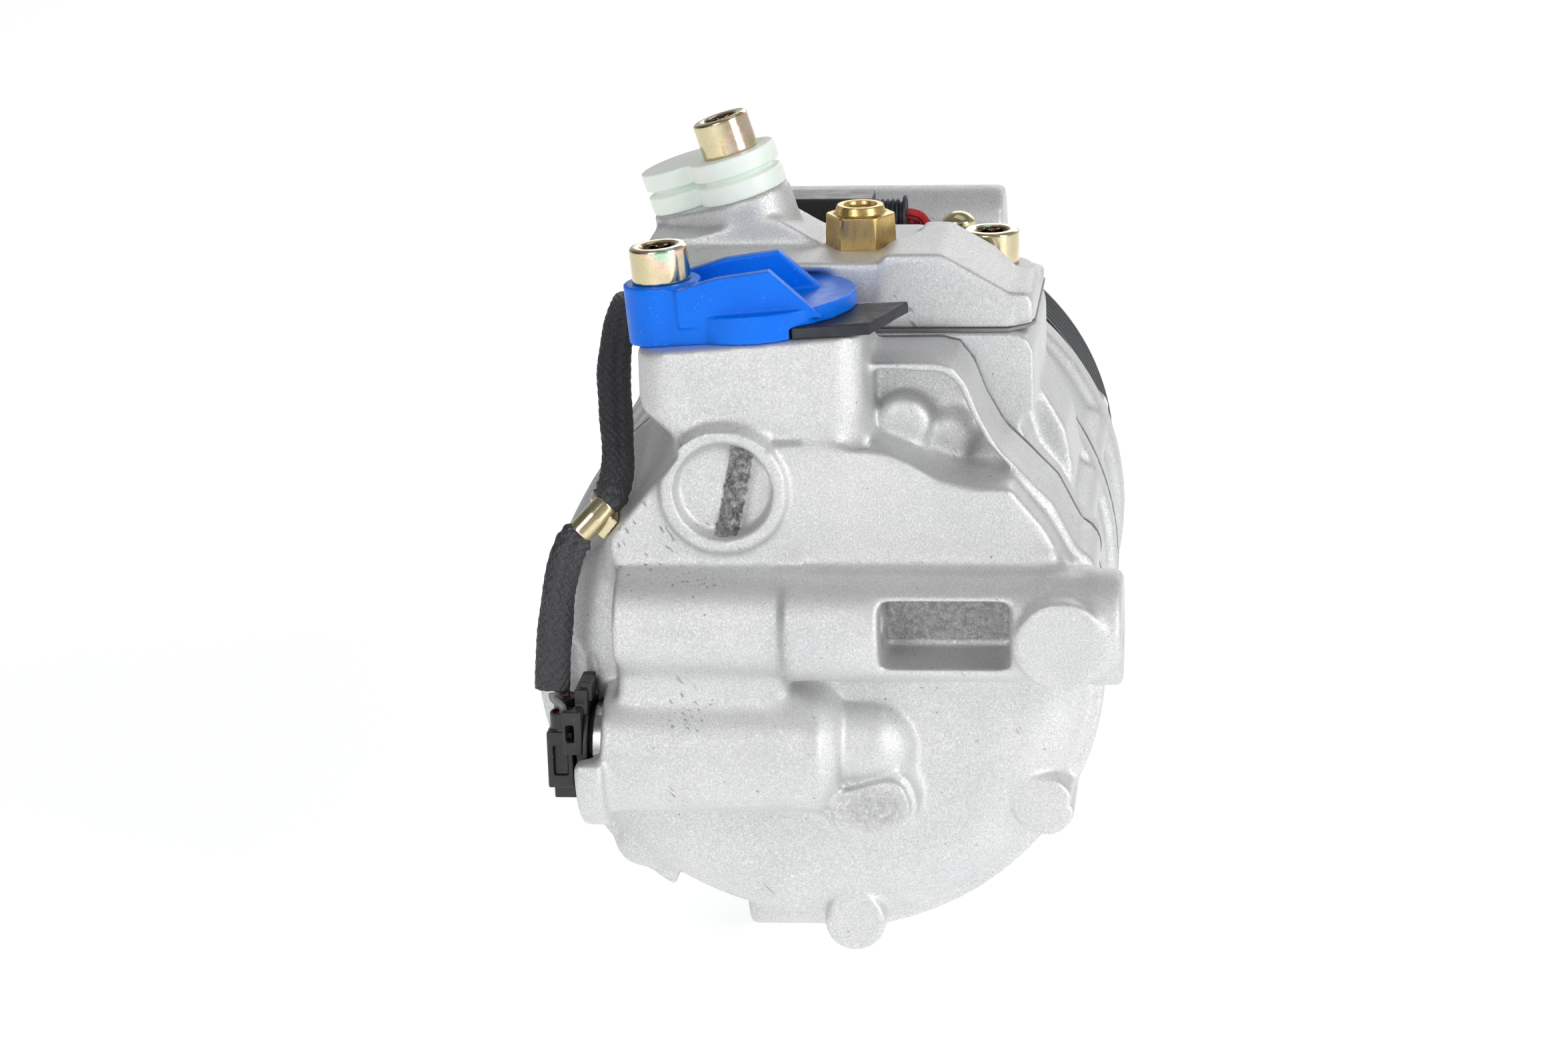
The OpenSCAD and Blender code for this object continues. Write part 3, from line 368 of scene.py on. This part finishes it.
def new_piece(name, mesh, body, slot, *stands_for):
    """A visible piece that rides on a body, and stands for CAD nodes where some are given."""
    obj = bpy.data.objects.new(name, mesh)
    scene.collection.objects.link(obj)
    mesh.materials.clear()
    mesh.materials.append(paints[slot])
    mesh.shade_smooth()
    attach(obj, body)
    if stands_for:
        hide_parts(*stands_for)
    return obj


def vectors(items, what):
    """The points or normals of a mesh's vertices as rows."""
    flat = np.empty(len(items) * 3, np.float32)
    items.foreach_get(what, flat)
    return flat.reshape(-1, 3)


def relaxed(mesh, co, rounds, weight):
    """Each point moved towards the middle of its neighbours, which turns sharp edges into radii."""
    ends = np.empty(len(mesh.edges) * 2, np.int32)
    mesh.edges.foreach_get("vertices", ends)
    a, b = ends.reshape(-1, 2).T
    n = len(co)
    degree = np.maximum(np.bincount(a, minlength=n) + np.bincount(b, minlength=n), 1)[:, None]
    for _ in range(rounds):
        total = np.stack([np.bincount(a, co[b, k], n) + np.bincount(b, co[a, k], n)
                          for k in range(3)], 1)
        co = co + weight * 0.5 * (total / degree - co)
    return co


def skin(name, node, voxel, rounds, still=None, shape=None, soft=None):
    """A fine voxel skin of a CAD node with its edges rounded, standing for that node. Its three
    functions work on points in millimetres from the seam: still gives each point's freedom, from
    0, which keeps it, to 1. soft marks in the same way the places with large fillets. shape moves
    the points at the end, and marks where the materials paint dirt and shade."""
    source = nodes[node]
    temp = bpy.data.objects.new("temp", source.data.copy())
    scene.collection.objects.link(temp)
    weld = temp.modifiers.new("weld", "WELD")
    weld.merge_threshold = 1e-6
    grid = temp.modifiers.new("grid", "REMESH")
    grid.mode = "VOXEL"
    grid.voxel_size = voxel * MM
    made = bpy.data.meshes.new_from_object(
        temp.evaluated_get(bpy.context.evaluated_depsgraph_get()))
    bpy.data.objects.remove(temp)

    origin = np.array((0, seam / MM, 0))
    co = vectors(made.vertices, "co").astype(float)
    mm = co / MM - origin
    weight = np.ones((len(co), 1)) if still is None else still(mm)[:, None]
    co = relaxed(made, co, rounds, weight)
    if soft:
        co = relaxed(made, co, SOFT_ROUNDS, soft(mm)[:, None] * weight)
    if shape:
        co = (shape(made, co / MM - origin) + origin) * MM
    made.vertices.foreach_set("co", co.astype(np.float32).ravel())
    made.update()
    return new_piece(name, made, source["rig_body"], slot_of[node], node)


def near(values, places, band):
    """True where a value is within band of one of the places."""
    return np.any([np.abs(values - p) < band for p in places], axis=0)


def within(values, lo, hi):
    """True where a value lies between lo and hi."""
    return (values > lo) & (values < hi)


def blob(mm, centre, radii):
    """1 near the centre, falling to 0 a little outside the radii."""
    d = (((mm - np.array(centre)) / np.array(radii)) ** 2).sum(1)
    return np.clip(1.3 - d, 0, 1)


def keep_planes(axis, places, band):
    """A still function that nearly holds the flat faces at these places along an axis."""
    return lambda mm: np.where(near(mm[:, axis], places, band), 0.2, 1.0)


def grainy(mesh, mm, mask, depth, size):
    """Moves masked points along their normals by a rough noise."""
    normals = vectors(mesh.vertices, "normal")
    for i in np.nonzero(mask > 0.02)[0]:
        p = Vector(mm[i]) / size
        mm[i] += normals[i] * (noise.fractal(p, 0.8, 2.0, 4) * depth * mask[i])
    return mm


def set_dirt_and_shade(mesh, values):
    """Marks, from 0 to 1, the dirt and the painted shade that the materials read."""
    dirt_and_shade = mesh.attributes.new("dirt_and_shade", "FLOAT", "POINT")
    dirt_and_shade.data.foreach_set("value", values.astype(np.float32))


def clean(mesh, mm):
    """A shape function that leaves the points alone and marks no dirt and no painted shade."""
    set_dirt_and_shade(mesh, np.zeros(len(mm)))
    return mm


# ---- the rear housing's own places, in millimetres from the seam ----

TUBE_Y, TUBE_Z = -39.5, 13.4
TUBE_END_X, TUBE_END_R = 60.6, 11.5
PLUG_Z, PLUG_SLANT = 43.4, 0.21
PAD_X, PAD_Z = 12.5, -27.9
EJECTOR_X, EJECTOR_Z, EJECTOR_R = 29, 14, 2.8
FILLETS = {
    "under the tower": ((-10, -30, 54), (34, 9, 6)),
    "valve boss's closed end": ((-1, -34, -16), (8, 12, 16)),
    "slanted pad": ((PAD_X, -36, -28), (16, 3.5, 13)),
    "recess beside the tower": ((28, -15, 50), (15, 6, 8)),
    "between tube and valve boss": ((-22, -46, 0), (26, 5, 10)),
    "under the tube's window": ((30, -34, -1), (34, 5, 5)),
    "above the tube": ((10, -35, 26), (60, 4, 5)),
    "web's end": ((-1, -42, -2), (9, 9, 8)),
}


def rear_still(mm):
    """Holds the gasket face and the tube's right-hand end, and most of the slanted pad."""
    x, y, z = mm.T
    end = (x > TUBE_END_X) & (np.hypot(y - TUBE_Y, z - TUBE_Z) < TUBE_END_R)
    pad = blob(mm, (PAD_X, -42.5, PAD_Z), (12, 3.5, 9)) > 0
    return np.where(near(y, (0,), 0.5) | end, 0.15, np.where(pad, 0.2, 1.0))


def rear_soft(mm):
    """The large fillets, but not the tube's sharp step."""
    x, _, z = mm.T
    beside_step = (np.abs(x + 5) > 3) | (z < 2)
    return np.clip(sum(blob(mm, *place) for place in FILLETS.values()), 0, 1) * beside_step


def rear_shape(mesh, mm):
    """Darker marks in the plug's slanted groove, the tube's window and on the slanted pad, a
    painted shadow line with dirt at the tube's step, rough skin in the first three, and an ejector
    pin's ring on the back of the window."""
    x, y, z = mm.T
    slant = x - (z - PLUG_Z) * PLUG_SLANT
    groove = (within(slant, -18.9, -13.8) & (np.abs(z - PLUG_Z) < 12)
              & within(y, -36.3, -26)).astype(float)
    window = (within(x, 16.2, 44) & within(z, 8, 21) & (y > -44)).astype(float)
    pad = blob(mm, (PAD_X, -43, PAD_Z), (9, 2.5, 6)) * 0.35
    # a painted shadow line, with dirt, along the tube's step
    step = blob(mm, (-5, -45, 8), (2.2, 12, 14)) * 0.18
    set_dirt_and_shade(mesh, np.clip(groove * 0.9 + window * 0.5 + pad + step, 0, 1))
    ring = np.abs(np.hypot(x - EJECTOR_X, z - EJECTOR_Z) - EJECTOR_R) < 0.45
    mm[ring & (window > 0)] += (0, 0.35, 0)
    return grainy(mesh, mm, np.clip(groove + window * 0.4 + pad * 0.5, 0, 1), 0.4, 1.1)


def socket_darkening(*screws):
    """A shape function that only marks the insides of screw sockets. Each screw is given by the
    top of its head and by its lean in degrees."""
    def mark(mesh, mm):
        normals = vectors(mesh.vertices, "normal")
        dirt_and_shade = np.zeros(len(mm))
        for top, lean in screws:
            axis = np.array((-math.sin(math.radians(lean)), 0, math.cos(math.radians(lean))))
            off = mm - np.array(top)
            deep = off @ axis
            out = off - deep[:, None] * axis
            far = np.linalg.norm(out, axis=1)
            inward = (normals * out).sum(1) < -0.25 * far
            dirt_and_shade[(far < 5) & within(deep, -6, -0.4) & (inward | (far < 3))] = 1
        set_dirt_and_shade(mesh, dirt_and_shade)
        return mm
    return mark


skin("rear_casting", "rear_housing", 0.62, 16, rear_still, rear_shape, rear_soft)
block_ends, block_deck = keep_planes(1, (0.6, 60.6), 0.6), keep_planes(2, (69.5,), 0.5)
skin("block_casting", "cylinder_block", 0.8, 9,
     lambda mm: np.minimum(block_ends(mm), block_deck(mm)), clean)
skin("front_casting", "front_housing", 0.85, 8, keep_planes(1, (61.2, 157), 0.6), clean)
skin("muffler_casting", "muffler_cover", 0.6, 12, keep_planes(2, (70.3,), 0.5), clean)

# each piece's name, its CAD node, its voxel in millimetres and its rounds of rounding
for name, node, voxel, rounds in (
        ("relief_body", "relief_valve", 0.2, 3),
        ("blue_cap", "suction_cap", 0.32, 3),
        ("cap_gasket", "suction_cap_gasket", 0.3, 3),
        ("white_cap", "discharge_cap", 0.3, 4),
        ("valve_socket", "valve_connector", 0.22, 3),
        ("loom_plug", "harness_plug", 0.24, 3),
        ("lead_socket", "top_connector", 0.3, 3),
        ("lead_boot", "connector_boot", 0.22, 3),
        ("bracket_screw", "connector_screw", 0.18, 3),
        ("loom_clip", "sleeve_clip", 0.2, 4),
        ("loom_screw", "clip_screw", 0.16, 3),
        ("drive_plate", "damper_hub", 0.5, 5),
        ("hub_nut", "centre_nut", 0.25, 3),
        ("drive_rubbers", "rubber_dampers", 0.5, 4)):
    skin(name, node, voxel, rounds)

# the retaining ring is phosphated, so it is darker than the other steel
retainer = skin("retainer", "valve_retaining_ring", 0.2, 2)
retainer.data.materials[0] = metal(
    "phosphated_steel", rgb(0.06, 0.06, 0.06), rgb(0.09, 0.09, 0.09), 0.45)
skin("cover_screws", "muffler_bolts", 0.2, 3, None,
     socket_darkening(((35.6, 47, 83.2), 0), ((-27, 53, 79.5), 0)))
skin("suction_screw", "suction_cap_bolt", 0.2, 3, None, socket_darkening(((-33.4, -20.7, 94.9), 4.5)))
skin("discharge_screw", "discharge_cap_bolt", 0.2, 3, None, socket_darkening(((-25.3, 30, 113.5), 17)))


# ---- braided sleeve ----

# the CAD's route from the plug to the top connector, in millimetres from the seam
ROUTE = [(-58.1, -39, -1.6), (-57.5, -39, 6.9), (-56.5, -38.6, 15.2), (-55.6, -38, 21.7),
         (-53.8, -36.8, 28.6), (-51.7, -35, 32.4), (-47.6, -33, 36.6), (-44.8, -30.5, 39.8),
         (-43.7, -24, 45.4), (-45.2, -14, 55.1), (-46.5, -6, 62.3), (-46.5, 3, 69.3),
         (-45.5, 12, 73.4), (-45, 22, 71.2), (-45, 34, 70.6), (-45, 46, 71),
         (-43.4, 58, 73.4), (-38.5, 64.6, 78.2), (-31.5, 65, 81.8), (-25.8, 64.6, 82.4)]
PER_POINT = 24
CLIP_AT = 5.9                       # the clip's middle, counted in points of the route
HALF_WIDTH, HALF_THICKNESS = 3.6, 2.4
PINCHED, PINCH_REACH = 1.9, 4.6
BUNCH_AT, BUNCH_REACH = 6.5, 3      # the bulge on both sides of the clip
STRANDS, PITCH, LIFT = 12, 1.5, 0.3
AROUND, STEP = 120, 0.2


def smooth_way(points):
    """A Catmull-Rom curve through the points, as the CAD has it."""
    p = np.array(points, float)
    q = np.vstack([p[:1], p, p[-1:]])
    t = np.linspace(0, 1, PER_POINT, endpoint=False)[:, None]
    out = []
    for i in range(len(p) - 1):
        a, b, c, d = q[i:i + 4]
        out.append(0.5 * (2 * b + (c - a) * t + (2 * a - 5 * b + 4 * c - d) * t ** 2
                          + (3 * b - a - 3 * c + d) * t ** 3))
    return np.vstack([*out, p[-1:]])


def evenly(line, step):
    """The line at even steps, and how far along it each point is."""
    s = np.concatenate([[0], np.cumsum(np.linalg.norm(np.diff(line, axis=0), axis=1))])
    at = np.linspace(0, s[-1], int(s[-1] / step) + 1)
    return np.stack([np.interp(at, s, line[:, k]) for k in range(3)], 1), at


def carried(line, facing):
    """The facing and sideways directions along a line, carried on without twist."""
    heading = np.gradient(line, axis=0)
    heading /= np.linalg.norm(heading, axis=1)[:, None]
    normals = np.empty_like(heading)
    f = np.array(facing, float)
    for i, t in enumerate(heading):
        f = f - t * (f @ t)
        f /= np.linalg.norm(f)
        normals[i] = f
    return normals, np.cross(heading, normals)


def tube_mesh(name, rings):
    """A closed tube over rings of points, in millimetres from the seam."""
    count, around = rings.shape[:2]
    verts = np.vstack([rings.reshape(-1, 3), rings[[0, -1]].mean(1)])
    first, last = count * around, count * around + 1
    k = np.arange(around)
    k2 = (k + 1) % around
    faces = []
    for lower in range(0, (count - 1) * around, around):
        upper = lower + around
        faces += np.stack([lower + k, lower + k2, upper + k2, upper + k], 1).tolist()
    faces += [[first, b, a] for a, b in zip(k.tolist(), k2.tolist())]
    end = (count - 1) * around
    faces += [[last, end + a, end + b] for a, b in zip(k.tolist(), k2.tolist())]
    mesh = bpy.data.meshes.new(name)
    mesh.from_pydata([tuple(at_seam(v)) for v in verts], [], faces)
    mesh.update()
    return mesh


def weave(ang, along):
    """Height of the yarns from 0 to 1: they go both ways round, over two and under two."""
    turns, climb = ang / (2 * math.pi) * STRANDS, along / PITCH / 1.6
    p, q = turns + climb, turns - climb
    p_on_top = np.mod(np.floor(p) + np.floor(-q), 4) < 2
    across = np.where(p_on_top, np.mod(p, 1), np.mod(q, 1))
    lengthwise = np.where(p_on_top, np.mod(q, 1), np.mod(p, 1))
    round_yarn = np.sqrt(np.clip(np.sin(math.pi * across), 0, 1))
    return round_yarn * (0.7 + 0.3 * np.sin(math.pi * lengthwise))


def braided():
    """The sleeve's mesh, its path in the frame and its length in metres."""
    way = smooth_way(ROUTE)
    line, s = evenly(way, STEP)
    to_clip = way[:int(CLIP_AT * PER_POINT) + 1]
    clip_s = np.linalg.norm(np.diff(to_clip, axis=0), axis=1).sum()
    facing, sideways = carried(line, (0.1, -1, 0))
    ang, along = np.meshgrid(np.linspace(0, 2 * math.pi, AROUND, endpoint=False), s)
    # two bundles of leads side by side under the braid, uneven along the way, bunched at the clip
    bunched = np.exp(-((np.abs(along - clip_s) - BUNCH_AT) / BUNCH_REACH) ** 2)
    breathe = (1 + 0.035 * np.sin(along / 5.3) + 0.02 * np.sin(along / 2.1 + 1)
               + 0.07 * bunched * np.sin(along * 2.4 + ang))
    half_w, half_t = HALF_WIDTH * breathe, HALF_THICKNESS / breathe
    pinch = np.exp(-((along - clip_s) / PINCH_REACH) ** 6)
    half_w = half_w + (PINCHED - half_w) * pinch
    half_t = half_t + (PINCHED - half_t) * pinch
    valley = 0.20 * (1 - pinch) * np.exp(-(np.cos(ang) / 0.26) ** 2)
    w = half_w * np.cos(ang)
    h = half_t * np.sin(ang) * (1 - valley)
    lift = LIFT * weave(ang, along)
    nx, ny = np.cos(ang) / half_w, np.sin(ang) / half_t
    size = np.hypot(nx, ny)
    w = w + lift * nx / size
    h = h + lift * ny / size
    rings = line[:, None] + w[..., None] * sideways[:, None] + h[..., None] * facing[:, None]
    path = [tuple(at_seam(v)) for v in line[::20]] + [tuple(at_seam(line[-1]))]
    obj = new_piece("sleeve_braid", tube_mesh("sleeve_braid", rings),
                    nodes["braided_sleeve"]["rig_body"], "black_braid", "braided_sleeve")
    return obj, path, s[-1] * MM


sleeve, sleeve_path, sleeve_length = braided()


# ---- floor, light and background ----

FLOOR_HALF = 6.0
FLOOR_GAP = 0.0002

corners = [(x * FLOOR_HALF, y * FLOOR_HALF, 0) for x, y in ((-1, -1), (1, -1), (1, 1), (-1, 1))]
floor_mesh = bpy.data.meshes.new("floor")
floor_mesh.from_pydata(corners, [], [(0, 1, 2, 3)])
floor = bpy.data.objects.new("floor", floor_mesh)
floor.location.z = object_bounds()[0].z - FLOOR_GAP
scene.collection.objects.link(floor)
p = Paint("pale_floor", Roughness=0.5, Emission_Color=rgb(1.0, 1.0, 1.0), Emission_Strength=0.55)
p.colour(p.mix(p.ramp(p.noise(3, 2), 0.3, 0.7), rgb(0.82, 0.83, 0.84), rgb(0.84, 0.845, 0.85)))
floor_mesh.materials.append(p.mat)

# The camera sees a white background. The metal reflects a room that is pale low down and grey
# above, and that falls off into the dark on the left.
world = bpy.data.worlds.new("studio")
scene.world = world
world.use_nodes = True
tree = world.node_tree
tree.nodes.clear()
out, room, seen, swap, ray, where, split, height, side = (
    tree.nodes.new("ShaderNode" + kind) for kind in (
        "OutputWorld", "Background", "Background", "MixShader", "LightPath", "TexCoord",
        "SeparateXYZ", "ValToRGB", "MapRange"))
for a, b in ((where.outputs["Generated"], split.inputs[0]),
             (split.outputs["Z"], height.inputs[0]),
             (split.outputs["X"], side.inputs["Value"]),
             (height.outputs[0], room.inputs["Color"]),
             (side.outputs[0], room.inputs["Strength"]),
             (ray.outputs["Is Camera Ray"], swap.inputs[0]),
             (room.outputs[0], swap.inputs[1]),
             (seen.outputs[0], swap.inputs[2]),
             (swap.outputs[0], out.inputs[0])):
    tree.links.new(a, b)
low, high = height.color_ramp.elements
low.position, low.color = 0.0, rgb(0.95, 0.955, 0.96)
high.position, high.color = 0.95, rgb(0.30, 0.30, 0.305)
for key, value in (("From Min", -0.95), ("From Max", -0.45), ("To Min", 0.1), ("To Max", 0.6)):
    side.inputs[key].default_value = value
seen.inputs["Color"].default_value = rgb(1.0, 1.0, 1.0)
seen.inputs["Strength"].default_value = 1.0


middle = (cad_lo + cad_hi) / 2


def softbox(name, place, width, height, watts):
    """A rectangular soft light that faces the middle of the object."""
    light = bpy.data.lights.new(name, "AREA")
    light.shape = "RECTANGLE"
    light.size, light.size_y, light.energy = width, height, watts
    obj = bpy.data.objects.new(name, light)
    scene.collection.objects.link(obj)
    obj.location = place
    obj.rotation_euler = (middle - Vector(place)).to_track_quat("-Z", "Y").to_euler()


softbox("left_box", (-0.55, -1.35, 0.75), 0.6, 1.0, 6.5)
softbox("right_box", (1.15, -0.85, 0.55), 0.6, 1.0, 9.5)
softbox("top_box", (0.1, 0.1, 1.3), 1.0, 0.6, 1)
softbox("back_box", (0.3, 1.4, 0.7), 1.4, 0.8, 6)
scene.view_settings.view_transform = "Standard"
